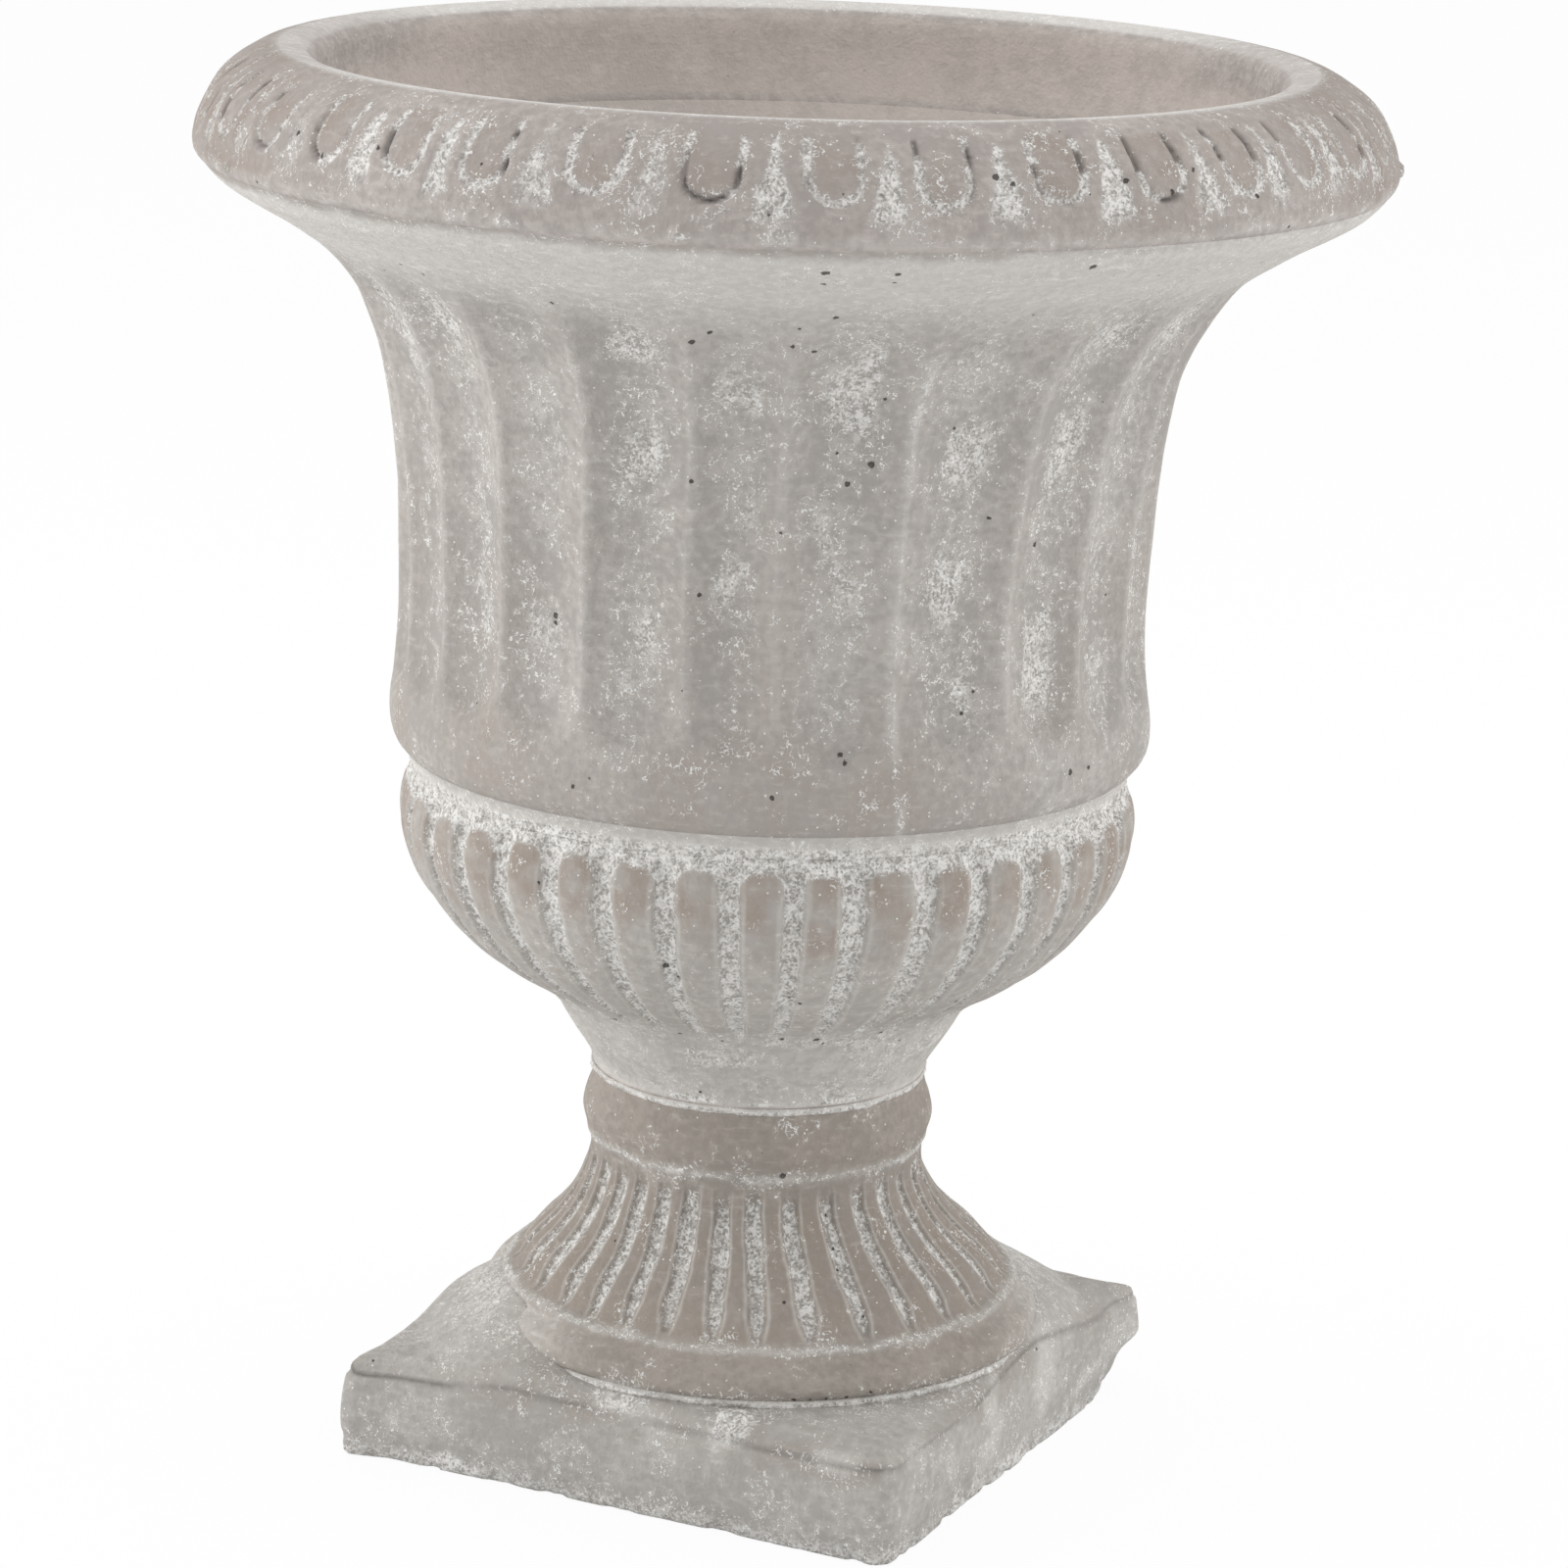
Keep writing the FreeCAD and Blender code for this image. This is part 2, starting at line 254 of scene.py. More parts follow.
def cement(name, body, stain, holes=()):
    """Cast cement: clouded, with a frost of chalky grains in its hollows, stains, painted shade and
    highlights, and air holes painted dark.
    """
    finish = Finish(name, 0.93)
    slurry = finish.painted("slurry")
    pale = finish.painted("pale")
    inner = finish.painted("inner")
    broad = finish.clouds(40, 3.0)
    patch = finish.clouds(8, 5.0)
    flecks = finish.clouds(1.9, 4.0)
    grain = finish.clouds(0.7, 3.0)
    sand = finish.clouds(0.4, 2.0)
    strokes = finish.clouds(1.2, 4.0, (0.25, 0.25, 1))

    # the clouded body, its stains and painted shade, the smooth lining, and the pale skin with its painted
    # highlights
    light = tuple(share * 1.12 for share in body[:3]) + (1,)
    dark = tuple(share * 0.86 for share in body[:3]) + (1,)
    tone = 0.25 * broad + 0.3 * patch + 0.1 * strokes + 0.35 * flecks
    color = finish.mix(finish.rise(tone, 0.42, 0.58), dark, light)
    color = finish.mix(finish.painted("stain") * finish.rise(patch, 0.2, 0.65), color, stain)
    color = finish.mix(inner * (0.6 + 0.4 * finish.rise(tone, 0.4, 0.6)), color, LINING)
    color = finish.mix(pale * (0.8 + 0.2 * finish.rise(flecks, 0.4, 0.6)), color, PALE)

    # rough slurry, and the chalk on it: curly lines in clusters, single grains and crumbs
    crumb = 0.45 * grain + 0.3 * flecks + 0.25 * sand
    rough = finish.rise(slurry, 0.45, 0.85)
    color = finish.mix(0.6 * rough, color, PALE)
    curls = finish.clouds(1.6, 3.0)
    curl = 1 - finish.rise(finish.sum("ABSOLUTE", curls - 0.5, 0), 0.014, 0.032)
    curl = curl * finish.rise(crumb, 0.45, 0.5)
    cluster = finish.rise(0.65 * patch + 0.35 * flecks + 0.45 * slurry, 0.6, 0.68)
    near_salt, salt_kind = finish.cells(1.8)
    salt = 0.9 * finish.rise(0.15 - near_salt, 0.0, 0.05) * finish.rise(salt_kind + 0.6 * slurry, 0.66, 0.7)
    crumbs = 0.7 * finish.rise(crumb, 0.485, 0.54) * rough
    frost = finish.most(finish.most(curl * cluster, salt), crumbs) * (1 - 0.8 * inner)
    scratches = finish.rise(strokes, 0.62, 0.67) * (0.08 + 0.3 * pale)
    pits = finish.rise(0.45 - crumb, 0.0, 0.03) * rough
    color = finish.mix(0.88 * finish.most(frost, scratches), color, CHALK)
    color = finish.mix(0.4 * pits, color, SHADE)
    # painted shade: dark creases, open grooves and shaded sides, together with some dark spots and pits
    color = finish.mix(0.85 * finish.painted("grime"), color, DEEP_SHADE)

    # small pores all over, and the larger air holes in their places, painted near black as the shade inside
    # them
    near, kind = finish.cells(4.6)
    size = finish.rise(kind, 0.82, 1.0)
    pores = finish.rise(0.085 * size + 0.06 * grain - near, 0.015, 0.05) * finish.rise(size, 0.0, 0.05)
    for x, y, z, wide in holes:
        ends = {0: finish.place, 1: (x * MM, y * MM, z * MM)}
        away = finish.node("ShaderNodeVectorMath", {"operation": "DISTANCE"}, ends, "Value")
        edge = wide / 2 * MM + 1.2 * MM * (grain - 0.5) + 0.8 * MM * (flecks - 0.5)
        pores = finish.most(pores, finish.rise(edge - away, -0.1 * MM, 0.15 * MM))
    pores = pores * (1 - 0.85 * inner)
    finish.feed("Base Color", finish.mix(0.85 * pores, color, DEEP_SHADE))
    fine = 0.25 * grain + 0.3 * flecks + 0.06 * strokes + 0.25 * patch
    finish.relief(fine + 0.12 * frost - 0.2 * pits - 0.8 * pores)
    return finish.material


def spots_of(piece):
    """The points of the mesh, in millimetres."""
    spots = np.empty(len(piece.data.vertices) * 3)
    piece.data.vertices.foreach_get("co", spots)
    return spots.reshape(-1, 3) / MM


def move_spots(piece, spots):
    piece.data.vertices.foreach_set("co", (spots * MM).ravel())
    piece.data.update()


def paint(piece, **shares):
    """Writes shares from 0 to 1 on the points of the mesh, for the cement's finish to read."""
    blank = np.zeros(len(piece.data.vertices))
    for name in ("slurry", "stain", "pale", "grime", "inner"):
        layer = piece.data.attributes.new(name, "FLOAT", "POINT")
        layer.data.foreach_set("value", np.clip(blank + shares.get(name, 0), 0, 1).astype(np.float32))


def smooth(low, high, value):
    """0 below low, 1 above high and a soft rise between them."""
    share = np.clip((value - low) / (high - low), 0, 1)
    return share * share * (3 - 2 * share)


def peak(value, width):
    """1 where the value is 0, and down to nothing about two widths to either side."""
    return np.exp(-((value / width) ** 2))


def swell(spots, size, seed):
    """Smooth random hills and hollows from -1 to 1, about size millimetres wide."""
    lattice = np.random.default_rng(seed).uniform(-1, 1, (SWELL_GRID, SWELL_GRID, SWELL_GRID))
    cells = spots / size
    low = np.floor(cells).astype(int)
    part = cells - low
    part = part * part * (3 - 2 * part)
    total = np.zeros(len(spots))
    for corner in np.ndindex(2, 2, 2):
        weight = np.prod(np.where(corner, part, 1 - part), axis=1)
        at = (low + corner) % SWELL_GRID
        total += weight * lattice[at[:, 0], at[:, 1], at[:, 2]]
    return total


def grit(spots):
    """The crumbly skin of slurry. It is one pattern in space, so it runs on from piece to piece."""
    return 0.6 * swell(spots, 1.6, 7) + 0.4 * swell(spots, 0.9, 8)


def pick_edges(piece, wanted):
    """Selects the edges for which wanted says so, given the heights of their two ends."""
    bpy.ops.mesh.select_mode(type="EDGE")
    bpy.ops.mesh.select_all(action="DESELECT")
    bpy.ops.object.mode_set(mode="OBJECT")
    for edge in piece.data.edges:
        ends = [piece.data.vertices[index].co.z for index in edge.vertices]
        edge.select = wanted(min(ends), max(ends))
    bpy.ops.object.mode_set(mode="EDIT")


def aside(spots, offset):
    """The points, moved by an offset to the camera's right."""
    right = math.radians(90 - SIDE_OF_CAMERA)
    return spots + np.reshape(offset, (-1, 1)) * (math.cos(right), math.sin(right), 0)


def around(spots):
    """Each point's bearing, its radius and its height."""
    bearing = np.degrees(np.arctan2(spots[:, 1], spots[:, 0])) + SIDE_OF_CAMERA
    return (bearing + 180) % 360 - 180, np.hypot(spots[:, 0], spots[:, 1]), spots[:, 2].copy()


def drawn_up(spots):
    """How far cement is drawn over the ring: 1 at the bearings of three corners, 0 between them."""
    total = np.zeros(len(spots))
    for corner, reach in DRAWN_UP:
        off = np.abs((around(spots)[0] - corner + 180) % 360 - 180)
        total = np.maximum(total, 1 - smooth(8, reach, off))
    return total


low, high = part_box("square_plinth")
plinth = block("weathered_plinth", low, high)
bpy.ops.object.mode_set(mode="EDIT")
pick_edges(plinth, lambda lowest, highest: lowest < low.z + MM and highest > high.z - MM)
bpy.ops.mesh.bevel(offset=PLINTH_CORNER, segments=8)
pick_edges(plinth, lambda lowest, highest: lowest > high.z - MM)
bpy.ops.mesh.bevel(offset=PLINTH_ARRIS, segments=4)
bpy.ops.object.mode_set(mode="OBJECT")
hole_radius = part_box("dowel_grout")[1].x
bpy.ops.mesh.primitive_cylinder_add(vertices=HOLE_SIDES, radius=hole_radius, depth=CORE_LENGTH)
core = bpy.context.object
modified(plinth, "BOOLEAN", object=core, operation="DIFFERENCE")
bpy.data.objects.remove(core)
modified(plinth, "REMESH", mode="VOXEL", voxel_size=PLINTH_GRID)
modified(plinth, "SMOOTH", factor=0.5, iterations=3)

spots = spots_of(plinth)
half = high.x / MM
foot = low.z / MM
crown = high.z / MM
to_corner = half * math.sqrt(2)
ring_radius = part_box("fluted_socle")[1].x / MM
away = np.hypot(*aside(spots, -SOCLE_OFFSET)[:, :2].T)
outwards = np.clip((away - ring_radius) / (to_corner - ring_radius), 0, 1)
to_right = np.clip((spots[:, 0] + spots[:, 1]) / (2 * half), -1, 1)
share = np.clip((spots[:, 2] - foot) / (crown - foot), 0, 1)

# the top: its fall to the corners and edges, and the cement drawn up over the ring
fall = PLINTH_FALL * outwards * (1 - 0.9 * smooth(0, 1, to_right) - 0.27 * smooth(0, 1, -to_right))
apron = np.clip(1 - (away - APRON_FOOT) / (to_corner - APRON_MARGIN - APRON_FOOT), 0, 1) ** 1.3
apron *= APRON_RISE * drawn_up(spots) * smooth(APRON_FOOT - 0.6, APRON_FOOT + 0.4, away)
edge_from = half - EDGE_WIDTHS[0] - (EDGE_WIDTHS[1] - EDGE_WIDTHS[0]) * smooth(-0.7, 0.0, to_right)
edge = smooth(edge_from, half, np.abs(spots[:, :2]).max(axis=1))
edge *= smooth(ring_radius - 1, ring_radius + 4, away)
spots[:, 2] += (np.maximum(-fall, apron - PLINTH_FALL * drawn_up(spots)) - EDGE_FALL * edge) * share

# the sides: bellied, bulging at two corners, and chipped along the foot
side = smooth(half - 14, half - 2, np.abs(spots[:, :2]).max(axis=1))
corner = smooth(0.82, 1, spots[:, 0] * spots[:, 1] / half**2)
bulge = np.where(to_right < 0, 3.3 - 1.0 * share, 3.9 * smooth(0.0, 0.5, share) - 1.2)
belly = np.sin(math.pi * share) * 0.9 - 0.1 + bulge * corner
broken = smooth(0.66, 0.98, spots[:, 0] * spots[:, 1] / half**2) * smooth(0, 1, to_right)
spots[:, 2] += FOOT_LIFT * broken * (1 - smooth(0, 0.6, share))
crumbs = 1 - smooth(0, CRUMBLY, spots[:, 2] - foot)
spots[:, 2] -= FOOT_DROP * side * (1 - smooth(0, 3, spots[:, 2] - foot))
chips = np.clip(swell(spots, 3.2, 11) + 0.5 * swell(spots, 1.7, 12), 0, 1)
uneven = 0.35 * swell(spots, 22, 13) + 0.18 * swell(spots, 6, 14)
push = side * (belly + uneven - CHIP_DEPTH * crumbs * chips)
push -= 0.5 * side * peak(share - 0.91, 0.035)
outward = spots[:, :2] / np.maximum(np.abs(spots[:, :2]).max(axis=1), 1)[:, None]
spots[:, :2] += outward * push[:, None]

# the top's trowel marks, and the lump on its front edge
top = smooth(0.8, 1.0, share)
clear = smooth(ring_radius - 2, ring_radius + 3, away)
spots[:, 2] += top * clear * (0.25 * swell(spots, 15, 15) + 0.12 * swell(spots, 4, 16) - 0.25)
from_lump = np.hypot(spots[:, 0] - LUMP[0], spots[:, 1] - LUMP[1])
lump = 1 - smooth(*LUMP_RADII, from_lump + 0.5 * swell(spots, 2.2, 17))
spots[:, 2] += top * lump * LUMP_HEIGHT
move_spots(plinth, spots)

# A thin dark line just under the top arris, stronger on the camera's left, is painted shadow cast by the
# top's edge.
wall = smooth(half - 3.5, half - 0.5, np.abs(spots[:, :2]).max(axis=1))
shadow_under_arris = wall * peak(share - 0.93 + 0.02 * swell(spots, 9, 20), 0.024)
smears = smooth(0.1, 0.8, swell(spots, 13, 18) + 0.6 * swell(spots, 5, 21))
by_ring = top * (1 - smooth(0, 0.35, outwards)) * smooth(-0.5, 0.4, swell(spots, 11, 23))
paint(
    plinth,
    slurry=0.22 + 0.4 * wall * smears * (1 - 0.7 * share) + 0.5 * crumbs * side + 0.6 * lump * top
    + 0.4 * by_ring,
    stain=0.3 + 0.5 * swell(spots, 24, 19) + 0.6 * wall * smooth(0.55, 0.9, share) + 0.35 * top,
    pale=0.4 * lump * top + 0.5 * smears * wall + 0.15 * top * smooth(0.5, 5, apron),
    grime=(0.5 + 0.2 * (to_right < 0)) * shadow_under_arris * smooth(-1.0, 0.2, swell(spots, 12, 22)),
)
plinth.data.shade_smooth()
handed_over(plinth, "square_plinth", cement("plinth_cement", PLINTH_BODY, PLINTH_STAIN))


# Socle: a base ring, a flare with 32 ribs and a collar, cast in one. Its ribs came out of the
# mould smooth and brown, and the grooves between them kept a rough, chalky skin of slurry.
SOCLE_TURNS = 800
SOCLE_STEP = 0.8
SHAFT_STEP = 8
HIDDEN_STEP = 6
CREASE = math.radians(50)  # edges that turn by more than this stay sharp
RIBS = 32
RIB_GROOVES = [-52, -42, -32, -22, -10.5, -0.5, 12, 25.5, 37.5, 49, 60]  # bearings
SOCLE_RING = [
    (62.2, 27.5), (63.0, 28.4), (63.1, 29.6), (62.3, 31.8), (60.3, 33.4), (58.4, 34.6), (57.1, 36.0),
]
SOCLE_FLARE = [
    (57.1, 36.0), (54.3, 37.8), (52.0, 41.0), (49.1, 44.3), (45.6, 47.5), (42.6, 50.8), (40.3, 54.0),
    (38.5, 57.3), (37.2, 60.5), (36.5, 63.8), (36.6, 67.0),
]
SOCLE_COLLAR = [(36.6, 67.0), (37.6, 70.2), (38.4, 73.5), (37.8, 76.8), (36.7, 80.0), (36.4, 82.5)]
RIB_GROOVE = 1.95  # half of its width
RIB_GROOVE_LESS = 0.65  # how much narrower it is to the camera's right
RIB_GROOVE_DEPTH = 1.15
TUCKED_IN = 1.6  # how far the ring gives way to the cement drawn over it
COLLAR_LINE = 68.2  # heights of the rough lines under the collar and at the flare's foot
FLARE_LINE = 36.4
SOCLE_HOLES = [  # bearing, height and width
    (9, 69, 1.2), (25.5, 59.2, 0.7), (25.5, 52.7, 0.6), (25.3, 48.8, 0.6), (28, 41, 0.6),
    (9, 28.2, 0.7), (12, 28.1, 0.6), (15, 28.2, 0.8), (19, 28.3, 0.6), (24, 28.5, 0.6), (21, 34, 0.6),
]
SOCLE_BODY = (0.325, 0.295, 0.266, 1)
SOCLE_STAIN = (0.28, 0.24, 0.205, 1)


def curved(points, step):
    """Points about step apart on a smooth line through the given (radius, height) points."""
    points = np.array(points, float)
    lengths = np.concatenate([[0], np.cumsum(np.hypot(*np.diff(points, axis=0).T))])
    at = np.linspace(0, lengths[-1], max(2, round(lengths[-1] / step) + 1))
    slopes = np.gradient(points, lengths, axis=0)
    run = np.clip(np.searchsorted(lengths, at, side="right") - 1, 0, len(lengths) - 2)
    gap = (lengths[run + 1] - lengths[run])[:, None]
    share = (at - lengths[run])[:, None] / gap
    ease = share * share * (3 - 2 * share)
    line = (1 - ease) * points[run] + ease * points[run + 1]
    lift = share * (1 - share) * gap
    return line + lift * ((1 - share) * slopes[run] - share * slopes[run + 1])


def straight(points, step):
    """Points about step apart on the straight lines between the given points."""
    line = [np.array(points[:1], float)]
    for start, end in zip(points, points[1:]):
        count = max(1, round(math.dist(start, end) / step))
        shares = np.arange(1, count + 1)[:, None] / count
        line.append((1 - shares) * start + shares * end)
    return np.concatenate(line)


def turned(name, runs, turns):
    """A closed solid: its outline is drawn point by point, in millimetres, and spun round the axis."""
    outline = np.concatenate([runs[0]] + [run[1:] for run in runs[1:]]) * MM
    merging = 0.01 * MM
    bpy.ops.object.select_all(action="DESELECT")
    bpy.ops.mesh.primitive_plane_add(size=MM, location=(outline[0][0], 0, outline[0][1]))
    piece = bpy.context.object
    piece.name = name
    bpy.ops.object.transform_apply()
    bpy.ops.object.mode_set(mode="EDIT")
    bpy.ops.mesh.select_mode(type="VERT")
    bpy.ops.mesh.select_all(action="SELECT")
    bpy.ops.mesh.merge(type="CENTER")
    for out, up in np.diff(outline, axis=0):
        bpy.ops.mesh.extrude_region_move(TRANSFORM_OT_translate={"value": (out, 0, up)})
    bpy.ops.mesh.select_all(action="SELECT")
    bpy.ops.mesh.remove_doubles(threshold=merging)
    bpy.ops.object.mode_set(mode="OBJECT")
    modified(
        piece, "SCREW", steps=turns, render_steps=turns, use_merge_vertices=True, merge_threshold=merging
    )
    bpy.ops.object.mode_set(mode="EDIT")
    bpy.ops.mesh.select_all(action="SELECT")
    bpy.ops.mesh.remove_doubles(threshold=merging)
    bpy.ops.mesh.normals_make_consistent(inside=False)
    bpy.ops.object.mode_set(mode="OBJECT")
    bpy.ops.object.shade_smooth_by_angle(angle=CREASE)
    return piece


def pushed(spots, radius, push):
    """The points, moved outwards from the axis."""
    moved = spots.copy()
    moved[:, :2] *= (1 + push / np.maximum(radius, 1))[:, None]
    return moved


def air_holes(spots, marks):
    """Air holes at the given bearings and heights, as places on the outside of the piece, and widths."""
    bearing, radius, height = around(spots)
    found = []
    for turn, up, wide in marks:
        sideways = np.radians((bearing - turn + 180) % 360 - 180) * radius
        nearest = np.argmin(np.hypot(sideways, height - up) - 0.1 * radius)
        found.append((*spots[nearest], wide))
    return found


def all_round(marks, count):
    """The bearings that the photograph shows, and the rest spread evenly over the back."""
    missing = count - len(marks)
    gap = (marks[0] + 360 - marks[-1]) / (missing + 1)
    return marks + [marks[-1] + gap * (extra + 1) for extra in range(missing)]


def between_marks(bearing, marks):
    """How far each point has come from one mark to the next, from 0 to 1."""
    round_marks = np.array([*marks, marks[0] + 360])
    onwards = (bearing - marks[0]) % 360 + marks[0]
    return np.interp(onwards, round_marks, np.arange(len(round_marks))) % 1


hole = hole_radius / MM
socle_foot = SOCLE_RING[0][1]
socle_top = SOCLE_COLLAR[-1][1]
socle = turned(
    "socle_casting",
    [
        straight([(hole, socle_foot), SOCLE_RING[0]], HIDDEN_STEP),
        curved(SOCLE_RING, SOCLE_STEP),
        curved(SOCLE_FLARE, SOCLE_STEP),
        curved(SOCLE_COLLAR, SOCLE_STEP),
        straight([SOCLE_COLLAR[-1], (hole, socle_top)], HIDDEN_STEP),
        straight([(hole, socle_top), (hole, socle_foot)], SHAFT_STEP),
    ],
    SOCLE_TURNS,
)
spots = spots_of(socle)
bearing, radius, height = around(spots)
outside = smooth(34, 35, radius)
outside *= smooth(socle_foot, socle_foot + 0.2, height) * (1 - smooth(socle_top - 0.2, socle_top, height))

# the grooves, with a raised lip along each side, and the ribs between them
share = between_marks(bearing, all_round(RIB_GROOVES, RIBS))
off = np.minimum(share, 1 - share)
wobble = 0.3 * swell(spots, 7, 31) + 0.2 * swell(spots, 2.5, 32)
width = RIB_GROOVE - RIB_GROOVE_LESS * smooth(-5, 40, bearing) * (bearing < 120) + wobble
width = width * smooth(33.5, 43, height) * RIBS / (2 * math.pi * radius)
groove = 1 - smooth(width - 0.08, width + 0.06, off)
length = smooth(36.4, 38.6, height) * (1 - smooth(60, 66.5, height))
rounding = 0.42 * np.clip((0.5 - off) / 0.33, 0, 1) ** 2
lip = peak(off - width - 0.06, 0.035) * length
push = (0.15 * grit(spots) - RIB_GROOVE_DEPTH) * groove * length - rounding * length + 0.2 * lip
push += 0.25 * swell(spots, 18, 36) + 0.08 * swell(spots, 4, 37)

# the rough lines under the collar and at the flare's foot
top_line = peak(height - COLLAR_LINE + 0.8 * swell(spots, 8, 38), 1.1)
foot_line = peak(height - FLARE_LINE + 0.3 * swell(spots, 6, 39), 0.6)
push += 0.4 * top_line * (0.6 + 0.6 * grit(spots)) + 0.15 * foot_line
push -= TUCKED_IN * drawn_up(spots) * (1 - smooth(34, 36, height))
offset = SOCLE_OFFSET * (1 - smooth(38, 62, height)) * smooth(hole, 40, radius)
move_spots(socle, aside(pushed(spots, radius, push * outside), offset))
paint(
    socle,
    slurry=0.72 * groove * length + 0.5 * top_line + 0.4 * (1 - smooth(27.5, 31.5, height)) + 0.5 * foot_line
    + 0.1 + 0.2 * swell(spots, 9, 40),
    stain=(1 - groove) * length * 0.75 + 0.35 * smooth(68, 71, height) + 0.25 * (height < 36)
    + 0.2 * swell(spots, 12, 41),
    pale=0.5 * lip + 0.4 * foot_line + 0.4 * top_line
    + 0.6 * drawn_up(spots) * (1 - smooth(34, 37, height)),
    grime=0.3 * top_line * smooth(0.2, 0.8, swell(spots, 6, 42)),
)
holes = air_holes(spots_of(socle), SOCLE_HOLES)
handed_over(socle, "fluted_socle", cement("socle_cement", SOCLE_BODY, SOCLE_STAIN, holes))


# Cup: the lower body, with 36 gadroons over a plain neck. The lobes are smooth and brownish,
# and the grooves are rough and whitish. An upstand inside keeps the bell from sliding on its bed.
CUP_TURNS = 775
CUP_STEP = 0.9
GADROONS = 36
GADROON_GROOVES = [-64, -54, -44, -34, -25, -15, -5, 4.5, 13.5, 25, 34, 44, 53, 63, 73]
NECK_LINE = [
    (36.5, 84.0), (37.3, 86.5), (39.2, 89.8), (41.3, 93.0), (43.3, 96.3), (45.2, 99.5), (48.3, 102.8),
]
CUP_LINE = [
    (48.3, 102.8), (53.0, 106.0), (58.5, 109.3), (62.9, 112.5), (66.6, 115.8), (69.8, 119.0),
    (72.5, 122.3), (74.9, 125.5), (76.8, 128.8), (78.2, 132.0), (79.2, 135.3), (79.9, 139.0), (79.9, 142.5),
    (79.1, 146.5), (78.0, 149.6), (77.3, 150.6),
]
BOWL_LINE = [(66.0, 150.6), (62.7, 138.4), (52.8, 126.2), (34.3, 120.6), (0, 120.1)]
UPSTAND_RADIUS = 70
GADROON_DEPTH = 1.35
LOBE_ROUNDING = 0.8
LOBE_TOP = 147.6  # height of the lobes' upper ends
BED_SMEAR = 84.6  # height of the line that the bed's cement leaves on the neck
CUP_HOLES = [
    (14.5, 103.4, 1.5), (-38, 104, 1.0), (-20, 103.4, 0.9), (5.5, 104, 1.0), (31, 104, 1.1),
    (41, 112.5, 1.1), (-43, 139.8, 0.9), (-36, 140.5, 0.7), (-16, 125.5, 1.4), (-14, 122.5, 0.9),
    (-54, 112, 0.9), (5, 118, 0.7),
]
CUP_BODY = (0.455, 0.436, 0.411, 1)
CUP_STAIN = (0.31, 0.265, 0.23, 1)

bowl_radius, seat = BOWL_LINE[0]
cup_foot = NECK_LINE[0][1]
upstand_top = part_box("gadrooned_cup")[1].z / MM
dowel_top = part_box("stem_dowel")[1].z / MM
upstand = [
    (UPSTAND_RADIUS, seat), (UPSTAND_RADIUS, upstand_top), (bowl_radius, upstand_top), (bowl_radius, seat),
]
cup = turned(
    "gadroon_cup_casting",
    [
        straight([(0, dowel_top), (hole, dowel_top), (hole, cup_foot)], HIDDEN_STEP),
        straight([(hole, cup_foot), NECK_LINE[0]], HIDDEN_STEP),
        curved(NECK_LINE, CUP_STEP),
        curved(CUP_LINE, CUP_STEP),
        straight([CUP_LINE[-1], *upstand], 3),
        curved(BOWL_LINE, 5),
    ],
    CUP_TURNS,
)
spots = spots_of(cup)
bearing, radius, height = around(spots)
skin_from = np.interp(height, (84, 100, 104, 120, 151), (30, 30, 40, 60, 74))  # radius, by height
outside = np.where(radius > skin_from, 1.0, 0.0) * smooth(cup_foot, cup_foot + 0.3, height)

# the grooves, the lobes with their square upper ends, and the rough brim over them
share = between_marks(bearing, all_round(GADROON_GROOVES, GADROONS))
off = np.minimum(share, 1 - share)
width = 0.17 + 0.02 * swell(spots, 30, 53) + 0.035 * swell(spots, 8, 51) + 0.02 * swell(spots, 2.5, 52)
groove = 1 - smooth(width - 0.05, width + 0.05, off)
length = smooth(101.5, 106.5, height - 3 * (0.5 - off))
rounding = np.clip((0.5 - off) / 0.35, 0, 1) ** 2
lobe_top = LOBE_TOP - 3.5 * rounding**2 + 0.8 * swell(spots, 5, 60)
brim = smooth(lobe_top - 0.7, lobe_top + 0.7, height)
lip = peak(off - width - 0.055, 0.03) * length * (1 - brim)
rough = np.maximum(groove * length, brim)
depth = length * (1 - smooth(147.5, seat, height))
push = depth * (0.25 * lip - GADROON_DEPTH * groove - LOBE_ROUNDING * rounding) - 0.3 * brim * (1 - groove)
push += 0.15 * rough * grit(spots) + 0.3 * swell(spots, 22, 56) + 0.1 * swell(spots, 4, 57)

# the bed's line, smeared up the neck
neck_line = peak(height - BED_SMEAR + 0.4 * swell(spots, 6, 58), 0.7)
push += 0.25 * neck_line * (0.5 + 0.5 * grit(spots))
uneven = smooth(-0.3, 0.7, swell(spots, 6, 59) + 0.4 * swell(spots, 16, 61))
lobe_stain = 0.2 + 0.9 * smooth(124, 147, height + 8 * swell(spots, 13, 62))
move_spots(cup, pushed(spots, radius, push * outside))
paint(
    cup,
    slurry=outside * (0.86 * rough + 0.4 * neck_line * uneven + 0.5 * (1 - length) * uneven + 0.14),
    stain=outside * ((1 - rough) * length * lobe_stain + 0.1),
    pale=outside * (0.45 * lip + 0.4 * neck_line + 0.2 * (1 - length) + 0.3 * rough * uneven + 0.25 * brim),
    inner=1 - outside,
)
holes = air_holes(spots_of(cup), CUP_HOLES)
handed_over(cup, "gadrooned_cup", cement("cup_cement", CUP_BODY, CUP_STAIN, holes))


